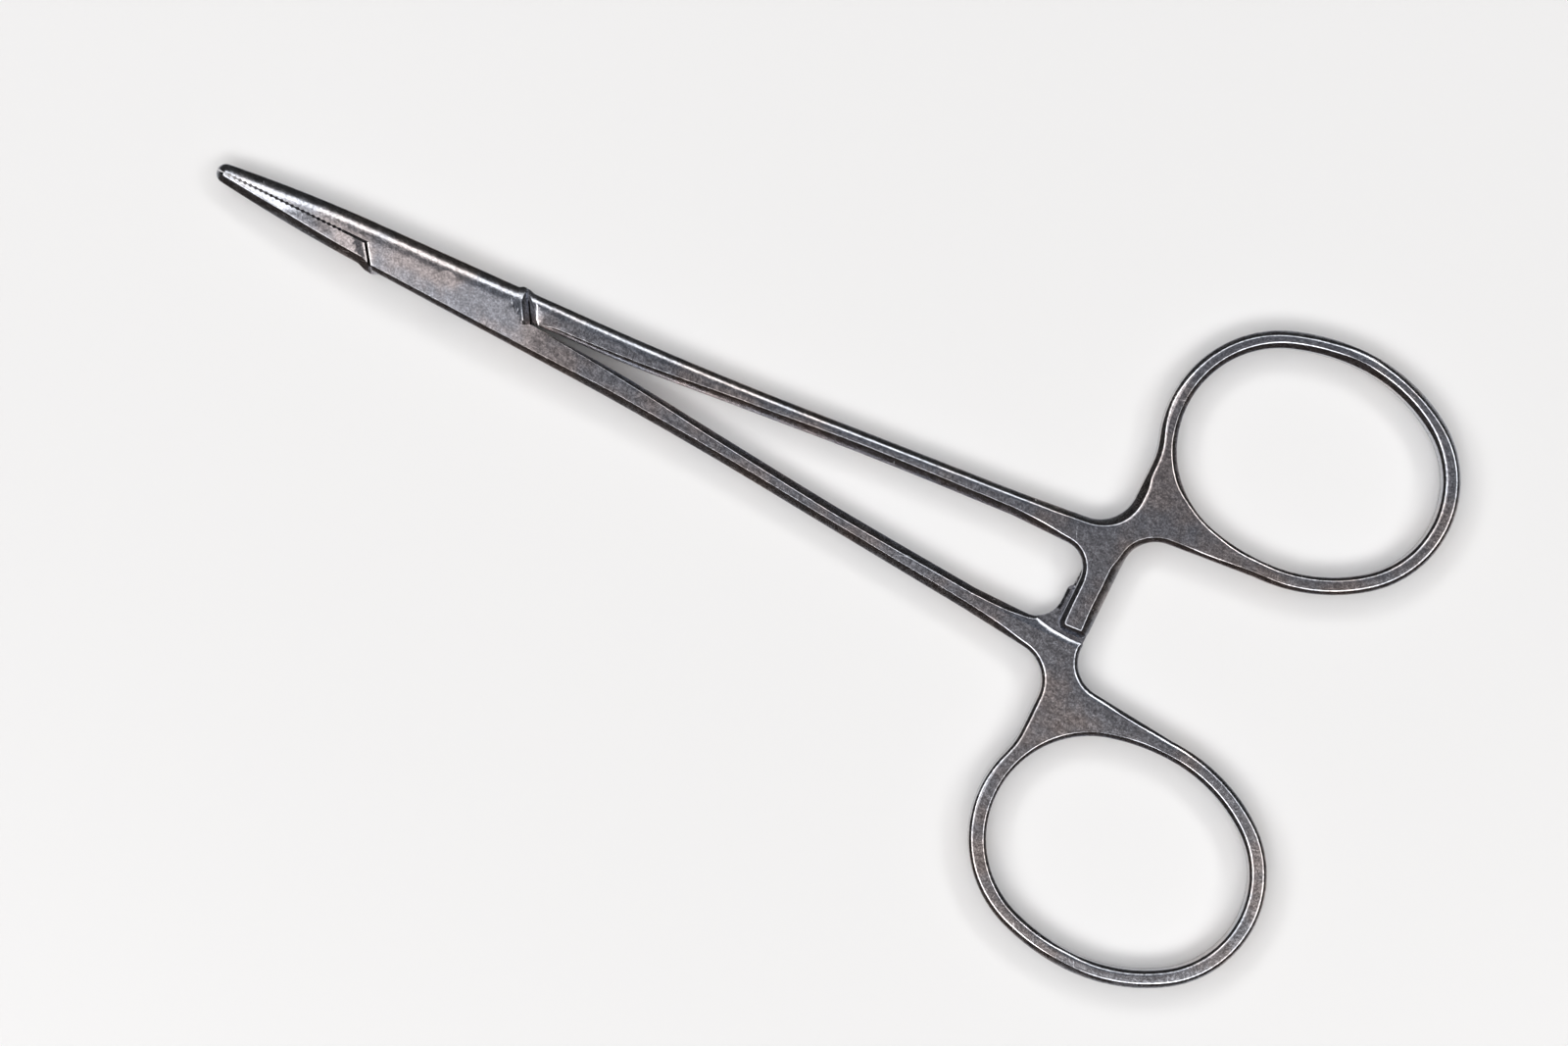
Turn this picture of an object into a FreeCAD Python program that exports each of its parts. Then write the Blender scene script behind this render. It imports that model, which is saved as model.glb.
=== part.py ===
import FreeCAD, Part
import math
import os

# Needle holder of the slim box-lock kind, closed, lying on the flat underside of its box.
# The origin is on the pivot's axis, in the plane it lies on. +X runs to the jaw tips and +Z up.
# The box half has its jaw on the -Y side and its ring on the +Y side. The tenon half crosses it.

# Jaws. The cross teeth stop short of the tip in front and of the cheeks behind.
tip_reach = 26.1
tip_half_width = 1.0
tip_thickness = 1.9
jaw_gap = 0.08
serration_pitch = 0.6
serration_depth = 0.15
serration_front = 1.2
serration_back = 2.5
jaw_relief = 0.1

# Box lock. The cheeks and the shoulders facing them are bevelled, and slant back towards the sides.
box_reach = 8.85
box_thickness = 4.4
box_front_half_width = 2.27
box_back_half_width = 2.94
block_back = 10.5
cheek_slant = 1.6
shoulder_gap = 0.4
edge_round = 0.8
cheek_bevel = 0.25
shoulder_bevel = 0.4
neck_half_width = 2.0
neck_thickness = 1.6
lock_side_clearance = 0.05
lock_face_clearance = 0.05
opening_angle = 60.0
stop_clearance = 1.0

# Pivot pin
pin_radius = 1.1
pin_running_clearance = 0.04

# Shanks: back from the pivot, gap side, outer side, how much thinner than the box, gap side bevel,
# outer bevel, and how full the bevels are
shank_gap = 0.3
shank_sections = (
    (20.4, 0.62, 3.33, 0.6, 0.50, 0.90, 0.6),
    (32.4, 1.75, 4.08, 1.3, 0.75, 0.70, 0.3),
    (46.4, 3.05, 5.27, 1.6, 0.75, 0.60, 0.3),
)
gap_edge_round = 0.12
flattest = 0.1
seam_step = 0.04
shank_length = 62.0
web_start_inner = 4.15
web_start_outer = 6.58

# Web between shank, ring and ratchet bar, measured back from the shank's end
web_length = 10.65
web_corner_offset = 7.75
web_ring_radius = 4.0
web_crotch_radius = 3.6
crotch_rise = 1.2
web_inner_radius = 2.8

# Finger rings, as tilted ovals. The hole's end arcs are a little smaller than its half width.
ring_inset = 0.6
ring_clear = 9.35
hole_half_length = 13.85
hole_half_width = 11.0
hole_front_under = 0.5
hole_back_under = 1.3
ring_band = 1.8
ring_tilt = 2.5
ring_thickness = 3.0
ring_bevel = 0.5
ring_blend_radius = 8.0

# Ratchet bars, one above the other, with facing teeth. Each rises to full thickness at a shoulder.
bar_setback_tenon = 9.2
bar_setback_box = 8.6
bar_back_setback = 12.45
bar_reach = 4.1
bar_step = 4.45
shoulder_lead = 1.6
shoulder_drop = 0.25
bar_tip_round = 0.9
bar_clearance = 0.1
tooth_count = 3
tooth_pitch = 1.15
tooth_depth = 0.5
tooth_end_land = 0.5

# How near a line or a direction counts as in it
near = 0.1
least_kink = math.radians(1.0)

# The largest edge round that the thin nose can take, as shares of its thickness and half width
round_by_thickness = 0.45
round_by_width = 0.85

# Worked out from the sizes above
middle = box_thickness / 2
rim_round = min(edge_round, round_by_thickness * tip_thickness, round_by_width * tip_half_width)
ring_bottom = middle - ring_thickness / 2
web_corner_back = shank_length + web_length
ring_back = web_corner_back + ring_inset + hole_half_length
ring_offset = ring_clear + ring_band + hole_half_width
bar_front_tenon = shank_length + bar_setback_tenon
bar_front_box = shank_length + bar_setback_box
bar_back = shank_length + bar_back_setback
beyond = tip_reach
neck_tilt = math.asin(neck_half_width / box_reach)


def point(x, y, z=0.0):
    return FreeCAD.Vector(x, y, z)


def along(angle, length):
    return point(length * math.cos(angle), length * math.sin(angle))


def prism(corners, bottom, top):
    """Upright block over a plan polygon."""
    loop = [point(x, y, bottom) for x, y in corners]
    face = Part.Face(Part.makePolygon(loop + loop[:1]))
    return face.extrude(point(0, 0, top - bottom))


def half_turned(shape):
    """The same shape turned half way round the pivot axis."""
    turned = shape.copy()
    turned.rotate(point(0, 0), point(0, 0, 1), 180)
    return turned


def other_side(shape):
    """The same shape mirrored across the long axis."""
    return shape.mirror(point(0, 0), point(0, 1, 0))


def rounded_wire(corners):
    """Closed plan wire through (x, y, radius) corners, each rounded by a tangent arc."""
    edges = []
    ends = []
    count = len(corners)
    for i, (x, y, radius) in enumerate(corners):
        here = point(x, y)
        to_last = (point(*corners[i - 1][:2]) - here).normalize()
        to_next = (point(*corners[(i + 1) % count][:2]) - here).normalize()
        if radius == 0:
            ends.append((here, here))
            continue
        half_angle = to_last.getAngle(to_next) / 2
        bisector = (to_last + to_next).normalize()
        setback = radius / math.tan(half_angle)
        start = here + to_last * setback
        end = here + to_next * setback
        crown = here + bisector * (radius / math.sin(half_angle) - radius)
        edges.append(Part.Arc(start, crown, end).toShape())
        ends.append((start, end))
    for i in range(count):
        edges.append(Part.makeLine(ends[i - 1][1], ends[i][0]))
    return Part.Wire(Part.__sortEdges__(edges))


def spindle():
    """Jaws and box as one forging: a long taper in plan, thinned towards the tips, edges rounded.
    Each side is straight along the box, then an arc that runs tangent into the round nose."""
    back_corner = point(-block_back, box_back_half_width)
    side_start = point(box_reach, box_front_half_width)
    straight = (side_start - back_corner).normalize()
    inward = point(straight.y, -straight.x)
    nose_centre = point(tip_reach - tip_half_width, 0)
    lead = side_start - nose_centre
    radius = (tip_half_width ** 2 - lead.Length ** 2) / (2 * (inward.dot(lead) + tip_half_width))
    side_centre = side_start + inward * radius
    side_end = nose_centre + (nose_centre - side_centre).normalize() * tip_half_width
    side_crown = side_centre + ((side_start + side_end) / 2 - side_centre).normalize() * radius
    nose_crown = nose_centre + along(math.pi / 4, tip_half_width)
    upper = [
        Part.makeLine(back_corner, side_start),
        Part.Arc(side_start, side_crown, side_end).toShape(),
        Part.Arc(side_end, nose_crown, point(tip_reach, 0)).toShape(),
    ]
    lower = [other_side(edge) for edge in upper]
    back = Part.makeLine(back_corner, point(-block_back, -box_back_half_width))
    plan = Part.Face(Part.Wire(Part.__sortEdges__(upper + lower + [back])))
    block = plan.extrude(point(0, 0, box_thickness)).common(side_profile())
    return block.makeFillet(rim_round, rims(block, -block_back))


def side_profile():
    """Side view of jaws and box: flat over the box, then each face falls in an arc to the tips."""
    drop = (box_thickness - tip_thickness) / 2
    run = tip_reach - box_reach
    radius = (run ** 2 + drop ** 2) / (2 * drop)
    half_turn = math.asin(run / radius) / 2
    mid_x = box_reach + radius * math.sin(half_turn)
    mid_drop = radius * (1 - math.cos(half_turn))
    wide = 2 * box_back_half_width
    corners = [
        point(-block_back, -wide, 0),
        point(box_reach, -wide, 0),
        point(tip_reach, -wide, drop),
        point(tip_reach, -wide, box_thickness - drop),
        point(box_reach, -wide, box_thickness),
        point(-block_back, -wide, box_thickness),
    ]
    low_crown = point(mid_x, -wide, mid_drop)
    high_crown = point(mid_x, -wide, box_thickness - mid_drop)
    edges = [
        Part.makeLine(corners[0], corners[1]),
        Part.Arc(corners[1], low_crown, corners[2]).toShape(),
        Part.makeLine(corners[2], corners[3]),
        Part.Arc(corners[3], high_crown, corners[4]).toShape(),
        Part.makeLine(corners[4], corners[5]),
        Part.makeLine(corners[5], corners[0]),
    ]
    return Part.Face(Part.Wire(edges)).extrude(point(0, 2 * wide, 0))


def jaw_face():
    """Plan line of one jaw's gripping face, from the tip back to the cheeks: fine cross teeth."""
    crest = jaw_gap / 2
    line = [(beyond, crest)]
    first = tip_reach - serration_front
    teeth = int((first - box_reach - shoulder_gap - serration_back) / serration_pitch)
    for tooth in range(teeth):
        ridge = first - tooth * serration_pitch
        line.append((ridge, crest))
        line.append((ridge - serration_pitch / 2, crest + serration_depth))
    last = first - teeth * serration_pitch
    line.append((last, crest))
    line.append((last, crest + jaw_relief))
    return line


def cheek_corner(offset=0.0):
    """Where the cheek's slanted end starts on the long axis, and where it leaves the box's side."""
    reach = box_reach + offset
    side = 2 * box_front_half_width
    return (reach, 0.0), (reach - cheek_slant * side / box_front_half_width, side)


def box_region():
    """Plan of all that belongs to the box half at full thickness."""
    start, side = cheek_corner()
    jaw = [(x, -y) for x, y in jaw_face()]
    front = [(start[0], jaw[-1][1]), start, side]
    back = [(-block_back, side[1]), (-block_back, shank_gap / 2), (-start[0], shank_gap / 2)]
    rear_cheek = [(-start[0], 0.0), (-side[0], -side[1])]
    return prism(jaw + front + back + rear_cheek + [(beyond, -side[1])], 0, box_thickness)


def tenon_region():
    """Plan of the tenon half's own jaw and of the start of its shank, at full thickness."""
    start, side = cheek_corner(shoulder_gap)
    inner = (start[0], jaw_face()[-1][1])
    jaw = prism(jaw_face() + [inner, side, (beyond, side[1])], 0, box_thickness)
    shoulder = [(-start[0], -shank_gap / 2), (-side[0], -side[1])]
    root = prism(shoulder + [(-block_back, -side[1]), (-block_back, -shank_gap / 2)], 0, box_thickness)
    return jaw.fuse(root)


def neck():
    """The thin band that crosses the box, tilted so that its flank starts where the jaws meet."""
    reach = along(neck_tilt, box_reach + 2 * neck_half_width)
    side = along(neck_tilt + math.pi / 2, neck_half_width)
    corners = [reach + side, side - reach, point(0, 0) - reach - side, reach - side]
    low = middle - neck_thickness / 2
    return prism([(corner.x, corner.y) for corner in corners], low, low + neck_thickness)


def mortise():
    """The room for the neck, shut to fully open: the whole box less one wedge of wall on each side.
    One wall of a wedge lies along the shut neck and the other stops the open neck."""
    flank = neck_half_width + lock_side_clearance
    stop_tilt = neck_tilt + math.radians(opening_angle + stop_clearance)
    half_turn = (stop_tilt - neck_tilt) / 2
    apex = along((stop_tilt + neck_tilt) / 2 - math.pi / 2, flank / math.cos(half_turn))
    along_neck = apex + along(neck_tilt, 2 * beyond)
    down_stop = apex - along(stop_tilt, beyond)
    wall = [(p.x, p.y) for p in (apex, down_stop, along_neck)]
    half_height = neck_thickness / 2 + lock_face_clearance
    low = middle - half_height
    high = middle + half_height
    reach = block_back
    side = 2 * box_back_half_width
    room = prism([(-reach, -side), (reach, -side), (reach, side), (-reach, side)], low, high)
    wedge = prism(wall, low, high)
    return room.cut(wedge).cut(half_turned(wedge))


def bevelled_section(back, inner, outer, thinning, inner_bevel, outer_bevel, fullness):
    """Upright section of a shank. Each corner is an arc from a flat bevel (0) to a full round (1)."""
    low = thinning / 2
    high = box_thickness - thinning / 2
    corners = [
        (outer, low, -1, 1, outer_bevel),
        (outer, high, -1, -1, outer_bevel),
        (inner, high, 1, -1, inner_bevel),
        (inner, low, 1, 1, inner_bevel),
    ]
    arcs = []
    for y, z, to_y, to_z, bevel in corners:
        flat = bevel / 2
        full = bevel * (1 - math.sqrt(0.5))
        inset = flat + (full - flat) * fullness
        on_side = point(-back, y, z + to_z * bevel)
        on_face = point(-back, y + to_y * bevel, z)
        crown = point(-back, y + to_y * inset, z + to_z * inset)
        arcs.append((on_side, crown, on_face))
    arcs = [arcs[0][::-1], arcs[1], arcs[2][::-1], arcs[3]]
    edges = []
    for i, arc in enumerate(arcs):
        edges.append(Part.Arc(*arc).toShape())
        edges.append(Part.makeLine(arc[2], arcs[(i + 1) % len(arcs)][0]))
    return Part.Wire(edges)


def shank():
    """The shank on the +Y side, lofted from the box to the web, a hair inside both where it meets them."""
    box_end = bevelled_section(
        block_back,
        shank_gap / 2 + seam_step,
        box_back_half_width - seam_step,
        2 * seam_step,
        gap_edge_round, rim_round, 1,
    )
    web_end = bevelled_section(
        shank_length,
        web_start_inner + seam_step,
        web_start_outer - seam_step,
        box_thickness - ring_thickness + 2 * seam_step,
        ring_bevel, ring_bevel, flattest,
    )
    sections = [bevelled_section(*section) for section in shank_sections]
    return Part.makeLoft([box_end] + sections + [web_end], True, False)


def oval(grow):
    """Closed plan wire of the finger hole, or of the ring round it when grown by the band. Each end is
    one arc, and each side is two arcs that meet it and each other tangent."""
    edges = []
    for way, under in ((1, hole_back_under), (-1, hole_front_under)):
        end_radius = hole_half_width - under
        long_way = hole_half_length - end_radius
        side_radius = (
            (hole_half_length ** 2 + hole_half_width ** 2 - 2 * hole_half_length * end_radius)
            / (2 * under)
        )
        side_centre = hole_half_width - side_radius
        turn = math.atan2(-side_centre, long_way)
        half_turn = (turn + math.pi / 2) / 2
        meeting = (
            way * (long_way + (end_radius + grow) * math.cos(turn)),
            (end_radius + grow) * math.sin(turn),
        )
        crown = (
            way * (side_radius + grow) * math.cos(half_turn),
            side_centre + (side_radius + grow) * math.sin(half_turn),
        )
        tip = in_ring(way * (hole_half_length + grow), 0)
        edges.append(Part.Arc(in_ring(meeting[0], -meeting[1]), tip, in_ring(*meeting)).toShape())
        for side in (1, -1):
            start = in_ring(meeting[0], side * meeting[1])
            middle_point = in_ring(crown[0], side * crown[1])
            end = in_ring(0, side * (hole_half_width + grow))
            edges.append(Part.Arc(start, middle_point, end).toShape())
    return Part.Wire(Part.__sortEdges__(edges))


def in_ring(back, outward):
    """Plan point measured from the ring's centre, back along its tilted long axis and outward from it."""
    tilt = math.radians(ring_tilt)
    x = -ring_back - back * math.cos(tilt) + outward * math.sin(tilt)
    return point(x, ring_offset + back * math.sin(tilt) + outward * math.cos(tilt))


def handle(bar_front):
    """Web, ring and lower ratchet bar on the +Y side: flat, of even thickness, with bevelled rims."""
    web = rounded_wire([
        (-shank_length, web_start_inner, 0),
        (-shank_length, web_start_outer, 0),
        (-web_corner_back, web_corner_offset, web_ring_radius),
        (-web_corner_back, ring_offset, 0),
        (-ring_back, ring_offset, 0),
        (-ring_back, ring_clear, 0),
        (-bar_back, ring_clear - crotch_rise, web_crotch_radius),
        (-bar_back, -bar_reach, bar_tip_round),
        (-bar_front, -bar_reach, bar_tip_round),
        (-bar_front, web_start_inner, web_inner_radius),
    ])
    plan = Part.Face(web).fuse(Part.Face(oval(ring_band))).cut(Part.Face(oval(0))).removeSplitter()
    plate = plan.Faces[0].extrude(point(0, 0, ring_thickness))
    plate.translate(point(0, 0, ring_bottom))
    plate = plate.makeFillet(ring_blend_radius, kinks(plate))
    plate = plate.makeChamfer(ring_bevel, rims(plate, -shank_length))
    return ratcheted(plate, bar_front)


def ratcheted(plate, bar_front):
    """The plate with its bar milled down to the lower level, up to a shoulder that runs in from the
    shank's gap side, and toothed there. The steep side of each tooth faces the ring, so that it holds
    against opening."""
    level = middle - bar_clearance / 2
    front = shoulder_lead - bar_front
    upper = prism([
        (front, -2 * bar_reach),
        (front, web_start_inner - shoulder_drop),
        (-bar_front, bar_step),
        (-ring_back, bar_step),
        (-ring_back, -2 * bar_reach),
    ], level, box_thickness)
    plate = plate.cut(upper)
    for tooth in range(tooth_count):
        crest = tooth_end_land - bar_reach + tooth * tooth_pitch
        notch = Part.makePolygon([
            point(-shank_length, crest, level),
            point(-shank_length, crest, level - tooth_depth),
            point(-shank_length, crest + tooth_pitch, level),
            point(-shank_length, crest, level),
        ])
        plate = plate.cut(Part.Face(notch).extrude(point(shank_length - ring_back, 0, 0)))
    return plate


def edge_middle(edge):
    return edge.valueAt((edge.FirstParameter + edge.LastParameter) / 2)


def is_upright(edge):
    return abs(edge.Vertexes[0].Z - edge.Vertexes[-1].Z) > tip_thickness / 2


def kinks(plate):
    """Upright edges where the plate's outline turns a little, as where the web runs into the ring."""
    found = []
    for edge in plate.Edges:
        faces = plate.ancestorsOfType(edge, Part.Face)
        if not is_upright(edge) or len(faces) < 2:
            continue
        at = edge_middle(edge)
        normals = [face.normalAt(*face.Surface.parameter(at)) for face in faces]
        if least_kink < normals[0].getAngle(normals[1]) < math.pi / 4:
            found.append(edge)
    return found


def rims(block, end):
    """The block's long edges: all but the upright ones, those across it and those of its flat end."""
    found = []
    for edge in block.Edges:
        at = edge_middle(edge)
        if not is_upright(edge) and abs(at.x - end) > near and abs(at.y) > near:
            found.append(edge)
    return found


def turned_over(shape):
    """The same shape turned upside down about the long axis at mid thickness."""
    turned = shape.copy()
    turned.rotate(point(0, 0, middle), point(1, 0, 0), 180)
    return turned


def pin(radius):
    return Part.makeCylinder(radius, box_thickness)


def end_bevels(offset, size, into):
    """Wedges that bevel a slanted end, above and below, in front of the pivot and behind it. The
    material lies ahead of the end where into is 1, and behind it where into is -1."""
    start, side = cheek_corner(offset)
    corner = point(start[0], 0, box_thickness)
    slant = point(side[0] - start[0], side[1])
    across = point(slant.y, -slant.x).normalize() * into * size
    down = point(0, 0, -size)
    on_top = across * 2 - down
    below = down * 2 - across
    outside = point(below.x, below.y, on_top.z)
    triangle = Part.makePolygon([corner + on_top, corner + below, corner + outside, corner + on_top])
    upper = Part.Face(triangle).extrude(slant)
    lower = upper.mirror(point(0, 0, middle), point(0, 0, 1))
    return [upper, lower, half_turned(upper), half_turned(lower)]


def box_half():
    """The forging with the mortised box, its jaw, lower shank, lower ratchet bar and lower ring."""
    front = spindle().common(box_region()).cut(end_bevels(0, cheek_bevel, -1))
    half = front.fuse([shank(), handle(bar_front_box)])
    return half.cut(mortise()).cut(pin(pin_radius)).removeSplitter()


def tenon_half():
    """The forging with the neck through the box, its jaw, upper shank, upper bar and upper ring."""
    blank = spindle()
    back = turned_over(shank().fuse(handle(bar_front_tenon)))
    ends = blank.common(tenon_region()).cut(end_bevels(shoulder_gap, shoulder_bevel, 1))
    half = ends.fuse([blank.common(neck()), back])
    return half.cut(pin(pin_radius + pin_running_clearance)).removeSplitter()


os.makedirs("parts", exist_ok=True)
pieces = {"box_half": box_half(), "tenon_half": tenon_half(), "pivot_pin": pin(pin_radius)}
for name, shape in pieces.items():
    solid = shape.Solids[0]
    print(name, "solids", len(shape.Solids), "valid", solid.isValid(), "volume", round(solid.Volume, 1))
    solid.exportStep("parts/" + name + ".step")
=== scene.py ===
import math
import bmesh
import bpy
import numpy as np
from mathutils import Matrix, Vector, geometry


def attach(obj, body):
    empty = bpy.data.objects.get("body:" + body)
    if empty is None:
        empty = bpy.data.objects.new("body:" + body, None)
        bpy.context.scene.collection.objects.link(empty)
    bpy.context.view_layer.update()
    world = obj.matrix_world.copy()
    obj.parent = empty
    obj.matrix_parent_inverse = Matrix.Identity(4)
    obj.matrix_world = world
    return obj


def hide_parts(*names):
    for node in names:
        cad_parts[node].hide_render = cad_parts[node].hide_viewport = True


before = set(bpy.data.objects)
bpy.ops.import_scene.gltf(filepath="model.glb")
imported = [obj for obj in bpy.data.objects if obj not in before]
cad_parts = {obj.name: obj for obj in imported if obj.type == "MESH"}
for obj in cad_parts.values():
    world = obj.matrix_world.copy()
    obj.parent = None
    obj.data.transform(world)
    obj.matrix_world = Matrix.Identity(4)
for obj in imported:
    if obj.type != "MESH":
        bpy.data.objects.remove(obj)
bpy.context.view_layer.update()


# The two forged halves
# Both are the same stainless forging, turned over for the other one: jaw, box, shank, web, ratchet bar
# and finger ring in one piece. They are ground flat above and below, bevelled by hand along every
# outer edge on a belt, and polished. Sizes are in millimetres, with -X towards the rings.
mm = 0.001
box_thickness = 4.4
middle = box_thickness / 2
tip_reach = 26.1
tip_half_width = 1.0
tip_thickness = 1.9
box_reach = 8.85
box_front_half_width = 2.27
box_back_half_width = 2.94
block_back = 10.5
shank_gap = 0.3
plate_start = 62.0
plate_slice = 1.45
outline_step = 0.3
table_step = 0.5
nose_points = 9
arc_points = 36
box_points = 61
shank_points = 120

# Back from the pivot: gap side, outer side, thickness
shank_sections = np.array((
    (10.5, 0.15, 2.94, 4.4),
    (20.4, 0.62, 3.33, 3.8),
    (32.4, 1.75, 4.08, 3.1),
    (46.4, 3.05, 5.27, 2.8),
    (62.0, 4.15, 6.58, 3.0),
))

# A rim rolls over from the flat top to the steepest slope of its bevel, then turns a tight corner
# into the upright side.
steepest = math.radians(38)
corner_round = 0.12
corner_turns = np.radians((90, 64, 38))
roll_steps = 8
rim_steps = len(corner_turns) + roll_steps
deepest_rim = 0.8
ridge_share = 0.95
flare_fade = 4
flat_steps = 4


def smooth_through(points, step, closed=False):
    """Even points along a smooth curve through the given ones, each with the direction of its chord."""
    count = len(points)
    if closed:
        chords = np.roll(points, -1, 0) - np.roll(points, 1, 0)
    else:
        chords = np.gradient(points, axis=0)
    ways = chords / np.linalg.norm(chords, axis=1)[:, None]
    found = []
    for i in range(count if closed else count - 1):
        here, there = points[i], points[(i + 1) % count]
        length = np.linalg.norm(there - here)
        turns = max(1, round(length / step))
        t = (np.arange(turns) / turns)[:, None]
        lead = (2 * t ** 3 - 3 * t ** 2 + 1) * here + (3 * t ** 2 - 2 * t ** 3) * there
        bend = (t ** 3 - 2 * t ** 2 + t) * ways[i] + (t ** 3 - t ** 2) * ways[(i + 1) % count]
        found.append(lead + bend * length)
    if not closed:
        found.append(points[-1:])
    return np.concatenate(found)


shank_tables = [smooth_through(shank_sections[:, [0, column]], table_step) for column in range(4)]


def shank_value(column, x):
    """One column of the shank's sections, smoothly between them."""
    table = shank_tables[column]
    return np.interp(-np.asarray(x, float), table[:, 0], table[:, 1])


def ease(x, start, end):
    """Rises smoothly from 0 at start to 1 at end."""
    t = np.clip((np.asarray(x, float) - start) / (end - start), 0, 1)
    return t * t * (3 - 2 * t)


def spindle_side():
    """Plan points of one side of jaws and box, from the nose back: nose arc, long arc, straight."""
    corner = np.array((-block_back, box_back_half_width))
    start = np.array((box_reach, box_front_half_width))
    straight = (start - corner) / np.linalg.norm(start - corner)
    inward = np.array((straight[1], -straight[0]))
    nose = np.array((tip_reach - tip_half_width, 0))
    lead = start - nose
    radius = (tip_half_width ** 2 - lead @ lead) / (2 * (inward @ lead + tip_half_width))
    centre = start + inward * radius
    meet = (nose - centre) / np.linalg.norm(nose - centre)
    nose_turn = math.atan2(meet[1], meet[0])
    first = math.atan2(*(start - centre)[::-1])
    nose_arc = [nose + tip_half_width * np.array((math.cos(a), math.sin(a)))
                for a in np.linspace(0, nose_turn, nose_points)]
    long_arc = [centre + radius * np.array((math.cos(a), math.sin(a)))
                for a in np.linspace(nose_turn, first, arc_points)[1:]]
    straight_side = [start + (corner - start) * t for t in np.linspace(0, 1, box_points)[1:]]
    return np.array(nose_arc + long_arc + straight_side)


def half_thickness(x):
    """Half the thickness at a distance in front of the pivot (negative behind it)."""
    drop = (box_thickness - tip_thickness) / 2
    run = tip_reach - box_reach
    radius = (run ** 2 + drop ** 2) / (2 * drop)
    forward = np.clip(x - box_reach, 0, run)
    front = middle - (radius - np.sqrt(radius ** 2 - forward ** 2))
    return np.where(x > -block_back, front, shank_value(3, x) / 2)


# Metres between corners that are the same one, and the sine below which a corner is no corner
same_point = 1e-7
straight_enough = 0.002


def level_outlines(node, height):
    """Corner points of the closed outlines in which a level plane cuts a solid of the frame."""
    bm = bmesh.new()
    bm.from_mesh(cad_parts[node].data)
    bmesh.ops.remove_doubles(bm, verts=bm.verts, dist=same_point)
    cut = bmesh.ops.bisect_plane(
        bm, geom=bm.verts[:] + bm.edges[:] + bm.faces[:], plane_co=(0, 0, height * mm), plane_no=(0, 0, 1))
    beside = {}
    for edge in cut["geom_cut"]:
        if isinstance(edge, bmesh.types.BMEdge):
            for vert in edge.verts:
                beside.setdefault(vert, []).append(edge.other_vert(vert))
    loops = []
    left = dict.fromkeys(beside)
    while left:
        loop = []
        onward = list(left)
        while onward:
            loop.append(onward[0])
            del left[onward[0]]
            onward = [vert for vert in beside[onward[0]] if vert in left]
        line = np.array([vert.co[:2] for vert in loop]) / mm
        before = line - np.roll(line, 1, 0)
        after = np.roll(line, -1, 0) - line
        turn = before[:, 0] * after[:, 1] - before[:, 1] * after[:, 0]
        least = straight_enough * np.linalg.norm(before, axis=1) * np.linalg.norm(after, axis=1)
        line = line[np.abs(turn) > least]
        x, y = line.T
        area = np.sum(x * np.roll(y, -1) - y * np.roll(x, -1)) / 2
        loops.append((abs(area), line if area > 0 else line[::-1]))
    bm.free()
    loops.sort(key=lambda loop: -loop[0])
    return [line for _, line in loops]


plate_join = 0.5


def plate_outline(node, height, turned):
    """The plate's outer outline from the shank's end round the ring and back, and its finger hole."""
    loops = level_outlines(node, height)
    if turned:
        loops = [(loop * (1, -1))[::-1] for loop in loops]
    holes = [loop for loop in loops[1:] if loop[:, 0].max() < -plate_start]
    outer = loops[0]
    behind = outer[:, 0] < -plate_start - plate_join
    first = next(i for i in range(len(outer)) if behind[i] and not behind[i - 1])
    outer = np.roll(outer, -first, 0)[:behind.sum()]
    ends = shank_sections[-1]
    outer = np.concatenate(([(-plate_start, ends[2])], outer, [(-plate_start, ends[1])]))
    return smooth_through(outer, outline_step)[1:-1], smooth_through(holes[0], outline_step, closed=True)


def along(table, x):
    """Rim widths and fullnesses at x, between the rows of a table of (x, width, fullness)."""
    x_at, width, fullness = np.array(sorted(table)).T
    return np.stack((np.interp(x, x_at, width), np.interp(x, x_at, fullness)), 1)


place_softness = 0.01


def near_places(table, points):
    """The same for plan points, blended between the rows of a table of (x, y, width, fullness)."""
    table = np.array(table)
    distance = np.linalg.norm(points[:, None] - table[None, :, :2], axis=2)
    share = 1 / (distance ** 4 + place_softness)
    return share @ table[:, 2:] / share.sum(1)[:, None]


def inward_offsets(line):
    """Mitred inward directions of a closed counter-clockwise outline, for a distance of one."""
    before = line - np.roll(line, 1, 0)
    after = np.roll(line, -1, 0) - line
    before /= np.linalg.norm(before, axis=1)[:, None]
    after /= np.linalg.norm(after, axis=1)[:, None]
    across = np.stack((-(before + after)[:, 1], (before + after)[:, 0]), 1)
    length = np.linalg.norm(across, axis=1)
    return across * (2 / length ** 2)[:, None]


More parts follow.
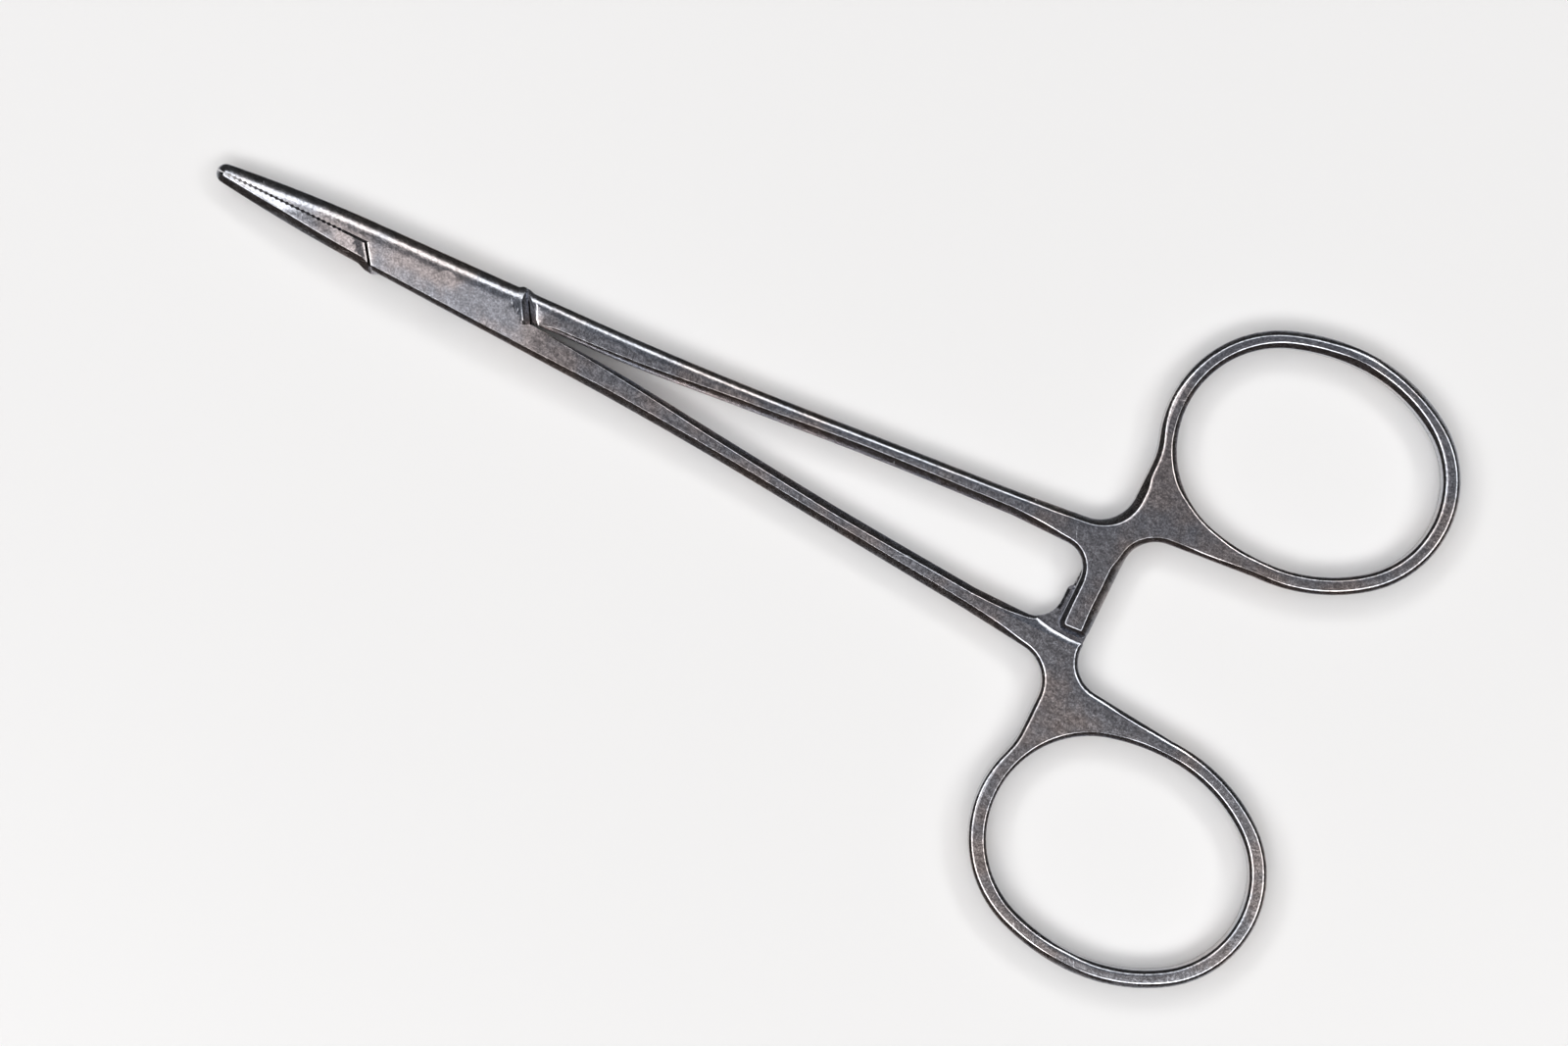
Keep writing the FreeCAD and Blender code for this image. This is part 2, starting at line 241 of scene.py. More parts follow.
def rim_columns(line, rims, flare, slit_fall):
    """Rim points of every outline point: from the side wall in to the flat on top, then the same below.
    A rim's fullness is the share of its width that rolls, before the flat of its bevel. Where jaws are
    too narrow for their rims, these meet in a ridge along the middle. A flare pushes a side outwards."""
    width, fullness = rims.T[:, :, None]
    half = half_thickness(line[:, 0])[:, None]
    slope = width - corner_round * (1 - math.sin(steepest))
    roll = fullness * slope / math.sin(steepest)
    ridge_at = ridge_share * spindle_half_width(line[:, 0])
    ridge_at = np.where(line[:, 0] > -block_back, ridge_at, np.inf)[:, None]
    flattest = np.arcsin(np.maximum(width - ridge_at, 0) / roll)
    share = np.linspace(0, 1, roll_steps + 1)
    turn = steepest + (flattest - steepest) * share
    corner_depth = (roll * (1 - math.cos(steepest)) + (1 - fullness) * slope * math.tan(steepest)
                    + corner_round * math.cos(steepest))
    across = np.concatenate((
        np.broadcast_to(corner_round * (1 - np.sin(corner_turns)), (len(line), len(corner_turns))),
        width - roll * np.sin(turn),
    ), 1)
    down = np.concatenate((
        corner_depth - corner_round * np.cos(corner_turns),
        roll * (1 - np.cos(turn)),
    ), 1)
    down *= np.minimum(1, deepest_rim * half / corner_depth)
    at = line[:, None] + inward_offsets(line)[:, None] * across[:, :, None]
    at[:, :, 1] += flare[:, None] * (1 - across / width) ** flare_fade
    rise = half_thickness(at[:, :, 0]) - down - slit_fall(at[:, :, 0], at[:, :, 1])
    top = np.concatenate((at, middle + rise[:, :, None]), 2)
    bottom = np.concatenate((at, middle - rise[:, :, None]), 2)
    return [Vector(v) for v in np.concatenate((top, bottom), 1).reshape(-1, 3)]


def spindle_half_width(x):
    """Half width of jaws and box at x, up to the centre of the round nose."""
    side = spindle_side()[::-1]
    return np.interp(np.minimum(x, tip_reach - tip_half_width), side[:, 0], side[:, 1])


def column_faces(start, count):
    """Faces between neighbouring rim columns, all round a closed outline."""
    size = 2 * (rim_steps + 1)
    faces = []
    for i in range(count):
        here = start + i * size
        there = start + (i + 1) % count * size
        for k in range(rim_steps):
            faces.append((here + k, there + k, there + k + 1, here + k + 1))
            low = rim_steps + 1 + k
            faces.append((here + low, here + low + 1, there + low + 1, there + low))
        faces.append((here + rim_steps + 1, there + rim_steps + 1, there, here))
    return faces


def mesh_object(name, verts, faces):
    """A new object whose mesh is given in millimetres."""
    mesh = bpy.data.meshes.new(name)
    mesh.from_pydata([Vector(v) * mm for v in verts], [], faces)
    bm = bmesh.new()
    bm.from_mesh(mesh)
    bmesh.ops.recalc_face_normals(bm, faces=bm.faces)
    bm.to_mesh(mesh)
    bm.free()
    obj = bpy.data.objects.new(name, mesh)
    bpy.context.scene.collection.objects.link(obj)
    return obj


def unchanged(x, y=0):
    """No flare, or no fall, at a plan point."""
    return 0 * x


corner_margin = 0.05


def forging(name, plate_outlines, rims, shank_flare=unchanged, jaw_flare=unchanged, slit_fall=unchanged):
    """One half's whole forging before anything is cut into it, with its shank on the +Y side. Each
    outline point carries a column of rim points, and the flats between the rims are filled last."""
    outer, hole = plate_outlines
    side = spindle_side()
    back_x = -np.linspace(block_back, plate_start, shank_points)[1:]
    shank_outer = np.stack((back_x, shank_value(2, back_x)), 1)
    shank_inner = np.stack((back_x, shank_value(1, back_x)), 1)
    jaw_side = side[1:] * (1, -1)
    jaw_side = jaw_side[jaw_side[:, 0] > corner_margin - block_back]
    gap_x = side[1 + len(jaw_side):, 0]
    gap_side = np.stack((gap_x, np.full(len(gap_x), shank_gap / 2)), 1)
    inner = np.concatenate((jaw_side, gap_side, shank_inner))
    ladder = len(inner)
    line_rims = np.concatenate((
        along(rims["shank side"], side[:, 0]), along(rims["shank side"], back_x),
        near_places(rims["plate"], outer),
        along(rims["gap side"], shank_inner[::-1, 0]), along(rims["gap side"], gap_x[::-1]),
        along(rims["jaw side"], jaw_side[::-1, 0]),
    ))
    line = np.concatenate((side, shank_outer, outer, inner[::-1]))
    flare = np.zeros(len(line))
    flare[:len(side)] = shank_flare(side[:, 0])
    flare[len(line) - len(jaw_side):] = -jaw_flare(jaw_side[::-1, 0])
    hole = hole[::-1]
    size = 2 * (rim_steps + 1)
    verts = rim_columns(line, line_rims, flare, slit_fall)
    verts += rim_columns(hole, near_places(rims["plate"], hole), np.zeros(len(hole)), slit_fall)
    hole_start = len(line) * size
    faces = column_faces(0, len(line)) + column_faces(hole_start, len(hole))
    for edge_at in (rim_steps, 2 * rim_steps + 1):
        rows = []
        for i in range(1, ladder + 1):
            left, right = i * size + edge_at, (len(line) - i) * size + edge_at
            between = [Vector(verts[left]).lerp(verts[right], j / flat_steps) for j in range(1, flat_steps)]
            rows.append([left, *range(len(verts), len(verts) + len(between)), right])
            verts += between
        faces += [(edge_at, rows[0][j], rows[0][j + 1]) for j in range(flat_steps)]
        for near_row, far_row in zip(rows, rows[1:]):
            faces += [(near_row[j], far_row[j], far_row[j + 1], near_row[j + 1]) for j in range(flat_steps)]
        round_plate = [i * size + edge_at for i in range(ladder, len(line) - ladder + 1)]
        round_plate += rows[-1][1:-1][::-1]
        round_hole = [hole_start + i * size + edge_at for i in range(len(hole))]
        index = round_plate + round_hole
        plate_loops = [[Vector(verts[i]) for i in loop] for loop in (round_plate, round_hole)]
        flat = geometry.tessellate_polygon(plate_loops)
        faces += [[index[i] for i in corners] for corners in flat]
    return mesh_object(name, verts, faces)


def prism(name, corners, bottom, top):
    """Upright block over a plan polygon."""
    count = len(corners)
    verts = [(x, y, bottom) for x, y in corners] + [(x, y, top) for x, y in corners]
    sides = [(i, (i + 1) % count, count + (i + 1) % count, count + i) for i in range(count)]
    return mesh_object(name, verts, sides + [tuple(range(count)), tuple(range(count, 2 * count))])


def settle(obj):
    """Makes what the object's modifier gives its plain mesh, and removes the modifier."""
    settled = bpy.data.meshes.new_from_object(obj.evaluated_get(bpy.context.evaluated_depsgraph_get()))
    obj.modifiers.clear()
    obj.data = settled


def carve(obj, tool, operation="DIFFERENCE"):
    """Cuts the tool's shape out of the object, or keeps what they share, and removes the tool."""
    change = obj.modifiers.new("carve", "BOOLEAN")
    change.operation = operation
    change.solver = "EXACT"
    change.object = tool
    settle(obj)
    bpy.data.objects.remove(tool)


overshoot = 0.5


def wedge(name, edge, inward, widths, depths, top=box_thickness, up=1):
    """A cutter that bevels a top edge: the edge's plan points, the direction in which the bevel runs in
    from them, and its width and depth at each. With up=-1 it bevels the edge of an underside. The cutter
    overshoots both ends of the slope."""
    verts, faces = [], []
    inward = np.array(inward, float) / np.linalg.norm(inward)
    for (x, y), width, depth in zip(edge, widths, depths):
        inner = np.array((x, y)) + inward * width * (1 + overshoot)
        outer = np.array((x, y)) - inward * width * overshoot
        above = top + up * depth * overshoot
        verts += [(*inner, above), (*outer, top - up * depth * (1 + overshoot)), (*outer, above)]
    for i in range(0, len(verts) - 3, 3):
        for j in range(3):
            a, b = i + j, i + (j + 1) % 3
            faces += [(a, b, b + 3), (a, b + 3, a + 3)]
    last = len(verts)
    return mesh_object(name, verts, faces + [(0, 1, 2), (last - 3, last - 2, last - 1)])


# Metres by which all noise is moved, so that its centre isn't on the pivot
noise_shift = (0.013, 0.004, 0.0)


class Wire:
    """An output socket of a tree's nodes. Arithmetic on wires adds the Math nodes for it."""

    def __init__(self, tree, socket=None):
        self.tree = tree
        self.socket = socket

    def node(self, kind, settings=None, sockets=None, output=None):
        """Adds a node: its settings first, then its sockets, by name or number, as values or wires. The
        wire that comes out is the named output, or else the first one."""
        made = self.tree.nodes.new("ShaderNode" + kind)
        for name, value in (settings or {}).items():
            setattr(made, name, value)
        for name, value in (sockets or {}).items():
            if isinstance(name, int):
                socket = made.inputs[name]
            else:
                socket = next(s for s in made.inputs if s.enabled and s.name == name)
            if isinstance(value, Wire):
                self.tree.links.new(value.socket, socket)
            else:
                socket.default_value = value
        outputs = (s for s in made.outputs if s.enabled and output in (None, s.name))
        return Wire(self.tree, next(outputs, None))

    def maths(self, operation, first, second):
        return self.node("Math", {"operation": operation}, {0: first, 1: second})

    def __add__(self, other):
        return self.maths("ADD", self, other)

    def __sub__(self, other):
        return self.maths("SUBTRACT", self, other)

    def __rsub__(self, other):
        return self.maths("SUBTRACT", other, self)

    def __mul__(self, other):
        return self.maths("MULTIPLY", self, other)

    __radd__ = __add__
    __rmul__ = __mul__

    def __abs__(self):
        return self.maths("ABSOLUTE", self, 0)

    def band(self, start, end):
        """Rises smoothly from 0 to 1 as the wire goes from start to end."""
        return self.node("MapRange", {"interpolation_type": "SMOOTHSTEP"},
                         {"Value": self, "From Min": start, "From Max": end})

    def blend(self, first, second):
        """The first colour where the wire is 0 and the second where it is 1."""
        return self.node("Mix", {"data_type": "RGBA"}, {"Factor": self, "A": first, "B": second})

    def noise(self, place, scale, detail, rough, turn=0.0, lengthwise=1.0):
        """Cloudy values of 0 to 1 on places in metres, turned in plan, and drawn out by a lengthwise
        scale below 1."""
        turned = self.node("Mapping", {"vector_type": "POINT"}, {
            "Vector": place, "Rotation": (0, 0, turn), "Location": noise_shift})
        spread = self.node("Mapping", {"vector_type": "POINT"}, {
            "Vector": turned, "Scale": (lengthwise, 1, 1)})
        return self.node("TexNoise", {}, {
            "Vector": spread, "Scale": scale, "Detail": detail, "Roughness": rough})


def new_material(name):
    """An empty material and the wire on which its nodes are written."""
    made = bpy.data.materials.new(name)
    made.use_nodes = True
    made.node_tree.nodes.clear()
    return made, Wire(made.node_tree)


def finish_material(wires, colour, roughness, metallic, normal=None):
    """The shader that takes a finish's colour, roughness and normal."""
    sockets = {"Base Color": colour, "Roughness": roughness, "Metallic": metallic}
    if normal:
        sockets["Normal"] = normal
    shader = wires.node("BsdfPrincipled", {}, sockets)
    wires.node("OutputMaterial", {}, {"Surface": shader})


blue_steel = (0.50, 0.515, 0.56, 1)
pink_steel = (0.61, 0.555, 0.545, 1)
darkest_shade = 0.58
brightest_shade = 1.5
# Painted shade: the near-black colour given to the steel deep inside the box lock
painted_lock_shade = (0.045, 0.04, 0.037, 1)
polish_roughness = 0.06
bump_distance = 0.000004
bump_strength = 0.6


def polished_steel():
    """Hand-polished stainless steel: bluish with pinkish clouds, speckled all over, with fine lines along
    its length, faint wiping marks across it, and a few short bright scratches. Deep inside the box lock,
    its colour is painted near black as painted shade, and it is made rougher there."""
    made, wires = new_material("polished_steel")
    place = wires.node("TexCoord", output="Object")
    x, y, z = (wires.node("SeparateXYZ", {}, {"Vector": place}, axis) for axis in "XYZ")
    cloud = wires.noise(place, 140, 3, 0.55)
    haze = wires.noise(place, 1900, 3, 0.65, lengthwise=0.6)
    speckle = wires.noise(place, 4300, 3, 0.75)
    grain = wires.noise(place, 3800, 3, 0.7, lengthwise=0.05)
    wiping = wires.noise(place, 3000, 2, 0.6, turn=0.55, lengthwise=0.07)
    scratches = (wires.noise(place, 3200, 1, 0.4, turn=-0.35, lengthwise=0.07).band(0.72, 0.82)
                 + wires.noise(place, 2900, 1, 0.4, turn=1.15, lengthwise=0.08).band(0.73, 0.83))
    tint = cloud.band(0.42, 0.64).blend(blue_steel, pink_steel)
    fleck = speckle.band(0.36, 0.70) * 0.6 + haze.band(0.38, 0.66) * 0.35 + scratches * 0.25
    dark, bright = (
        wires.node("Mix", {"data_type": "RGBA", "blend_type": "MULTIPLY"},
                   {"Factor": 1.0, "A": tint, "B": (shade, shade, shade, 1)})
        for shade in (darkest_shade, brightest_shade)
    )
    polished = fleck.blend(dark, bright)
    # Painted shade: deep in the box lock, round the neck's slot, the steel is coloured near black and made
    # rougher
    painted_lock_shade_mask = (abs(x).band(0.0099, 0.0097) * abs(y).band(0.0021, 0.0019)
              * abs(z - middle * mm).band(0.0016, 0.0015))
    colour = painted_lock_shade_mask.blend(polished, painted_lock_shade)
    roughness = speckle * 0.12 + haze * 0.08 + grain * 0.06 + scratches * 0.1 + painted_lock_shade_mask * 0.4
    height = speckle * 0.6 + grain * 0.6 + wiping * 0.35 - scratches * 0.5
    bump = wires.node("Bump", {}, {"Height": height, "Distance": bump_distance, "Strength": bump_strength})
    finish_material(wires, colour, roughness + polish_roughness, 1.0, bump)
    return made


halves_steel = polished_steel()


def row_of(obj, count, spacing):
    """Repeats the object's own mesh in a straight row, count times, spacing apart in millimetres."""
    tree = bpy.data.node_groups.new("row_of_" + obj.name, "GeometryNodeTree")
    kinds = {"Geometry": "NodeSocketGeometry", "Count": "NodeSocketInt", "Spacing": "NodeSocketVector"}
    for label, kind in kinds.items():
        tree.interface.new_socket(label, in_out="INPUT", socket_type=kind)
    tree.interface.new_socket("Geometry", in_out="OUTPUT", socket_type="NodeSocketGeometry")
    given = tree.nodes.new("NodeGroupInput")
    line = tree.nodes.new("GeometryNodeMeshLine")
    copies = tree.nodes.new("GeometryNodeInstanceOnPoints")
    real = tree.nodes.new("GeometryNodeRealizeInstances")
    finish = tree.nodes.new("GeometryNodeSetMaterial")
    result = tree.nodes.new("NodeGroupOutput")
    tree.links.new(given.outputs["Count"], line.inputs["Count"])
    tree.links.new(given.outputs["Spacing"], line.inputs["Offset"])
    tree.links.new(line.outputs["Mesh"], copies.inputs["Points"])
    tree.links.new(given.outputs["Geometry"], copies.inputs["Instance"])
    tree.links.new(copies.outputs["Instances"], real.inputs["Geometry"])
    tree.links.new(real.outputs["Geometry"], finish.inputs["Geometry"])
    tree.links.new(finish.outputs["Geometry"], result.inputs["Geometry"])
    finish.inputs["Material"].default_value = halves_steel
    repeat = obj.modifiers.new("row", "NODES")
    repeat.node_group = tree
    sockets = {item.name: item.identifier for item in tree.interface.items_tree if item.in_out == "INPUT"}
    repeat[sockets["Count"]] = count
    repeat[sockets["Spacing"]] = Vector(spacing) * mm
    settle(obj)
    return obj


# The bar reaches past the long axis, under or over the other half's bar. Cutters that go right through
# start below the flats and end above them.
bar_reach = 4.1
bar_clearance = 0.1
tooth_count = 3
tooth_pitch = 1.15
tooth_depth = 0.5
tooth_end_land = 0.5
ring_side = 87
bar_level = middle - bar_clearance / 2
below_all = -1
above_all = box_thickness + 1
past_gap = -8
sliver = 0.01
shoulder_step = [(-69.0, 4.1), (-69.9, 4.3), (-71.0, 4.5), (-73.0, 4.6), (-74.5, 4.5)]


def mill_ratchet(half):
    """Mills the half's bar down to its lower level, up to a shoulder whose edge is eased, and cuts the
    ratchet teeth there, steep side towards the ring."""
    front = shoulder_step[0][0]
    milled = [(-ring_side, past_gap), (front, past_gap)] + shoulder_step + [(-ring_side, 4.4)]
    carve(half, prism("milled", milled, bar_level, above_all))
    plate_top = middle + half_thickness(-plate_start)
    carve(half, wedge("eased", [(-68.6, 4.05)] + shoulder_step[1:] + [(-75.5, 4.4)], (0, 1),
                      (0.1, 0.42, 0.45, 0.42, 0.35, 0.3), (0.03, 0.17, 0.18, 0.17, 0.14, 0.12), plate_top))
    crest = tooth_end_land - bar_reach
    verts = []
    for x in (-ring_side, front):
        verts += [(x, crest, bar_level + sliver), (x, crest, bar_level - tooth_depth),
                  (x, crest + tooth_pitch, bar_level + sliver)]
    notch = mesh_object("notch", verts, [(0, 1, 2), (5, 4, 3), (0, 3, 4, 1), (1, 4, 5, 2), (2, 5, 3, 0)])
    carve(half, row_of(notch, tooth_count, (0, tooth_pitch, 0)))


# The gripping faces nearly touch, and behind their serration they are relieved
jaw_gap = 0.08
jaw_relief = 0.1
serration_pitch = 0.6
serration_depth = 0.15
serration_front = 1.2
serration_land = 0.02
serration_count = 22
beyond = tip_reach + 1


def serrate(jaw, side):
    """Cuts the row of fine cross grooves into a jaw's gripping face."""
    x = tip_reach - serration_front - serration_pitch / 2
    face = side * jaw_gap / 2
    half_groove = serration_pitch / 2 - serration_land
    corners = [(x - half_groove, face), (x, face - serration_depth), (x + half_groove, face),
               (x, face + serration_depth)]
    groove = prism("groove", corners, below_all, above_all)
    carve(jaw, row_of(groove, serration_count, (-serration_pitch, 0, 0)))


pin_radius = 1.1
around = 64


def circle(radius):
    """Plan points of a circle round the pivot."""
    turns = np.linspace(0, 2 * math.pi, around + 1)[:-1]
    return [(radius * math.cos(a), radius * math.sin(a)) for a in turns]


crease = math.radians(25)


def finish_half(half, body, node):
    """Gives a cut half its steel, smooth faces between crisp edges, and its place in the frame."""
    half.data.materials.clear()
    half.data.materials.append(halves_steel)
    for face in half.data.polygons:
        face.use_smooth = True
        face.material_index = 0
    half.data.set_sharp_from_angle(angle=crease)
    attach(half, body)
    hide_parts(node)


# Box half
# The forging whose middle is the box: a mortise runs through it for the other half's neck, between two
# cheeks with slanted ends. It carries the pin, the uppermost jaw in the photograph and the lower bar.
# Rims: rows of x, width and fullness along the sides, and of x, y, width and fullness on the plate.
box_rims = {
    "jaw side": ((26.1, 1.4, 0.97), (24, 1.7, 0.97), (20.4, 2.0, 0.97), (16, 2.1, 0.97), (0, 2.05, 0.97),
                 (-7, 1.9, 0.97), (-9.3, 1.8, 0.97), (-10.3, 0.05, 0.9)),
    "shank side": ((26.1, 1.2, 0.5), (20, 0.8, 0.2), (8.8, 0.5, 0.1), (-10, 0.55, 0.05), (-20, 0.75, 0.05),
                   (-62, 0.75, 0.05)),
    "gap side": ((-10.6, 0.05, 0.3), (-12, 0.2, 0.3), (-20, 0.5, 0.25), (-30, 0.75, 0.25), (-46, 0.9, 0.25),
                 (-62, 0.8, 0.3)),
    "plate": ((-62, 6.6, 0.75, 0.05), (-72.4, 11, 0.5, 0.5), (-62, 4.1, 0.8, 0.3), (-70.6, 0, 0.3, 0.4),
              (-74.45, 4, 0.5, 0.4), (-74.45, 0, 0.3, 0.4), (-78, 8.5, 0.7, 0.9), (-102, 22, 0.5, 0.6),
              (-87, 35, 0.6, 0.05), (-87, 12, 0.45, 0.05), (-80, 11.8, 0.45, 0.05), (-87, 9.4, 0.7, 0.95),
              (-87, 32.5, 0.6, 0.95), (-71, 22, 0.55, 0.9), (-73.5, 22, 0.35, 0.3)),
}


cheek_corner_proud = 0.24


def cheek_corner_flare(x):
    """The cheek's rear corner stands a little proud of the box's side."""
    return cheek_corner_proud * ease(-x, 6.9, 7.4)


box_half = forging(
    "box_half_steel", plate_outline("box_half", plate_slice, False), box_rims,
    jaw_flare=cheek_corner_flare)
mill_ratchet(box_half)
carve(box_half, prism("bore", circle(pin_radius), below_all, above_all))

# The corner between shank and lower bar is left as a rough stub, and the bar's front is ground back
stub = [(-66.4, past_gap), (-66.4, 3.7), (-69.1, 3.75), (-69.4, 3.35), (-69.95, 2.0), (-70.45, 2.0),
        (-70.5, 0.0), (-71.0, -0.6), (-71.3, past_gap)]
carve(box_half, prism("stub", stub, below_all, above_all))
carve(box_half, wedge("bar_front", [(-70.43, 2.3), (-70.5, 0.0), (-71.0, -0.62), (-71.1, -1.6)], (-1, 0),
                      [0.4] * 4, [0.36] * 4, bar_level))

# Plan of the cheeks' ends: where they cross the long axis, how much they slant back per millimetre
# across, and the gaps to the other half's shoulders
front_slant = 0.705
front_gap = 0.34
rear_reach = 9.5
rear_slant = 0.6
rear_gap = 0.16


def front_cheek(y, offset=0.0):
    """How far in front of the pivot the front cheek ends, at a distance from the long axis."""
    return box_reach + offset - front_slant * y


def rear_cheek(y, offset=0.0):
    """How far behind the pivot the rear cheek ends, at a distance from the long axis."""
    return rear_reach + offset - rear_slant * y


jaw_back = tip_reach - serration_front - serration_count * serration_pitch
relief = jaw_gap / 2 + jaw_relief
aside = 4
front_cut = [(beyond, -jaw_gap / 2), (beyond, aside), (front_cheek(aside), aside), (front_cheek(0), 0),
             (front_cheek(0), -relief), (jaw_back, -relief), (jaw_back, -jaw_gap / 2)]
carve(box_half, prism("front_cut", front_cut, below_all, above_all))
serrate(box_half, -1)
gap_ledge = shank_gap / 2 - 0.02
ledge_back = -12
rear_cut = [(-rear_cheek(aside), -aside), (-rear_cheek(0), 0), (-rear_cheek(0), shank_gap / 2 - 0.01),
            (-block_back, shank_gap / 2 - 0.005), (ledge_back, gap_ledge), (ledge_back, -aside)]
carve(box_half, prism("rear_cut", rear_cut, below_all, above_all))

# The cheeks' slanted ends are bevelled above and below, the front one by a hair, and the rear one
# broadly by file, with a narrower bevel where the broad one meets the flat
both_faces = ((1, box_thickness), (-1, 0))
bevel_x, bevel_y = 0.62, 0.37
for up, top in both_faces:
    carve(box_half, wedge(
        "front_bevel", [(front_cheek(y), y) for y in (-0.02, 2.6)], (-1, -front_slant),
        (0.16, 0.10), (0.056, 0.035), top, up))
    carve(box_half, wedge(
        "rear_bevel", [(-rear_cheek(y), -y) for y in (-0.15, 3.6)], (1, rear_slant),
        (0.72, 0.66), (0.62, 0.57), top, up))
    carve(box_half, wedge(
        "rear_edge", [(bevel_x - rear_cheek(y), bevel_y - y) for y in (0.25, 3.9)], (1, rear_slant),
        (0.18, 0.18), (0.076, 0.076), top, up))
carve(box_half, wedge(
    "filed_facet", [(-7.9, -0.55), (-7.4, -1.15), (-6.9, -1.85)], (1, 0.6),
    (0.02, 0.5, 0.02), (0.01, 0.045, 0.01), box_thickness))
carve(box_half, wedge(
    "filed_edge", [(-7.75, -0.35), (-7.35, -0.75), (-6.95, -1.15), (-6.5, -1.6)], (1, 0.8),
    (0.02, 0.09, 0.09, 0.02), (0.01, 0.05, 0.05, 0.01), box_thickness))

# The mortise takes the neck at every angle of the hinge, and its ends stop the neck's flanks one degree
# past the fully open place
neck_half_width = 2.0
neck_thickness = 1.6
lock_clearance = 0.05
opening_angle = 60
stop_clearance = 1.0
neck_tilt = math.asin(neck_half_width / box_reach)
stop_tilt = neck_tilt + math.radians(opening_angle + stop_clearance)


def way(angle, length):
    """A plan step of some length in a direction."""
    return np.array((math.cos(angle), math.sin(angle))) * length


flank = neck_half_width + lock_clearance
apex = way((stop_tilt + neck_tilt) / 2 - math.pi / 2, flank / math.cos((stop_tilt - neck_tilt) / 2))
far_neck = apex + way(neck_tilt, beyond)
far_stop = apex - way(stop_tilt, beyond)
room = [far_neck, -far_stop, -apex, -far_neck, far_stop, apex]
half_room = neck_thickness / 2 + lock_clearance
mortise = prism("mortise", room, middle - half_room, middle + half_room)
limit_side = 6
limits = [(-block_back, -limit_side), (block_back, -limit_side), (block_back, limit_side),
          (-block_back, limit_side)]
carve(mortise, prism("limits", limits, 0, box_thickness), "INTERSECT")
carve(box_half, mortise)

finish_half(box_half, "box_side", "box_half")

# Tenon half
# The same forging turned over, thinned in the middle to a flat neck that passes through the box's
# mortise. Its shoulders face the cheeks across narrow gaps. It has the lower jaw and the upper bar.
tenon_rims = {
    "jaw side": ((26.1, 1.2, 0.5), (20, 1.0, 0.2), (10, 0.8, 0.1), (0, 0.8, 0.1), (-9.3, 0.8, 0.1),
                 (-10.3, 0.05, 0.9)),
    "shank side": ((26.1, 1.4, 0.97), (0, 1.6, 0.97), (-8, 1.35, 0.97), (-20, 1.3, 0.95), (-30, 1.2, 0.9),
                   (-40, 1.1, 0.8), (-62, 0.9, 0.7)),
    "gap side": ((-10.6, 0.05, 0.5), (-12, 0.45, 0.1), (-20, 0.6, 0.05), (-30, 0.75, 0.05),
                 (-46, 0.9, 0.05), (-62, 0.8, 0.05)),
    "plate": ((-62, 6.6, 0.9, 0.7), (-72.4, 11, 1.1, 0.35), (-73.2, 15.5, 0.7, 0.4), (-62, 4.1, 0.8, 0.05),
              (-71.2, 0, 0.6, 0.3), (-71.2, 3, 0.5, 0.3), (-74.45, 3, 1.0, 0.1), (-74.45, 0, 1.0, 0.1),
              (-72.8, 4.1, 0.45, 0.1), (-78, 8.5, 0.5, 0.05), (-102, 22, 0.55, 0.6), (-87, 35, 0.75, 0.95),
              (-87, 12, 0.5, 0.9), (-80, 11.8, 0.5, 0.9), (-87, 9.4, 0.5, 0.05), (-87, 32.5, 0.7, 0.05),
              (-71, 22, 0.75, 0.9), (-73.5, 22, 0.5, 0.1)),
}


heel_proud = 0.34
shank_corner_proud = 0.2
slit_fall_slope = 0.375
slit_fall_width = 0.8


def heel_flare(x):
    """The jaw's heel stands proud of the box's side, beside the front cheek."""
    return heel_proud * ease(-x, -9.0, -7.7) * ease(x, 6.6, 7.3)


def shank_corner_flare(x):
    """So does the outer corner of the shank's shoulder, beside the rear cheek."""
    return shank_corner_proud * ease(-x, 7.0, 7.6) * ease(-x, 8.7, 7.9)


def tenon_slit_fall(x, y):
    """The lower jaw's faces are ground down a little towards the slit, along the front two thirds."""
    near_slit = np.clip(slit_fall_width + y, 0, slit_fall_width)
    return slit_fall_slope * near_slit * ease(x, 9.8, 13.5) * ease(x, 26.4, 24.5)


tenon_half = forging(
    "tenon_half_steel", plate_outline("tenon_half", box_thickness - plate_slice, True), tenon_rims,
    shank_corner_flare, heel_flare, tenon_slit_fall)
mill_ratchet(tenon_half)
tenon_half.data.transform(Matrix.Translation((0, 0, box_thickness * mm)) @ Matrix.Rotation(math.pi, 4, "X"))
bore_clearance = 0.04
carve(tenon_half, prism("bore", circle(pin_radius + bore_clearance), below_all, above_all))

# The shoulders' edges are bevelled before the spaces beside them are cut
for up, top in both_faces:
    carve(tenon_half, wedge(
        "front_shoulder", [(front_cheek(y, front_gap), y) for y in (-0.5, 2.9)], (1, front_slant),
        (0.98, 0.1), (0.38, 0.04), top, up))
    carve(tenon_half, wedge(
        "rear_shoulder", [(-rear_cheek(y, rear_gap), -y) for y in (-0.4, 3.6)], (-1, -rear_slant),
        (0.78, 0.12), (0.9, 0.14), top, up))
    carve(tenon_half, wedge(
        "shoulder_edge", [(-10.33, -0.01), (-9.0, -2.74)], (-1, -rear_slant),
        (0.18, 0.14), (0.064, 0.05), top, up))

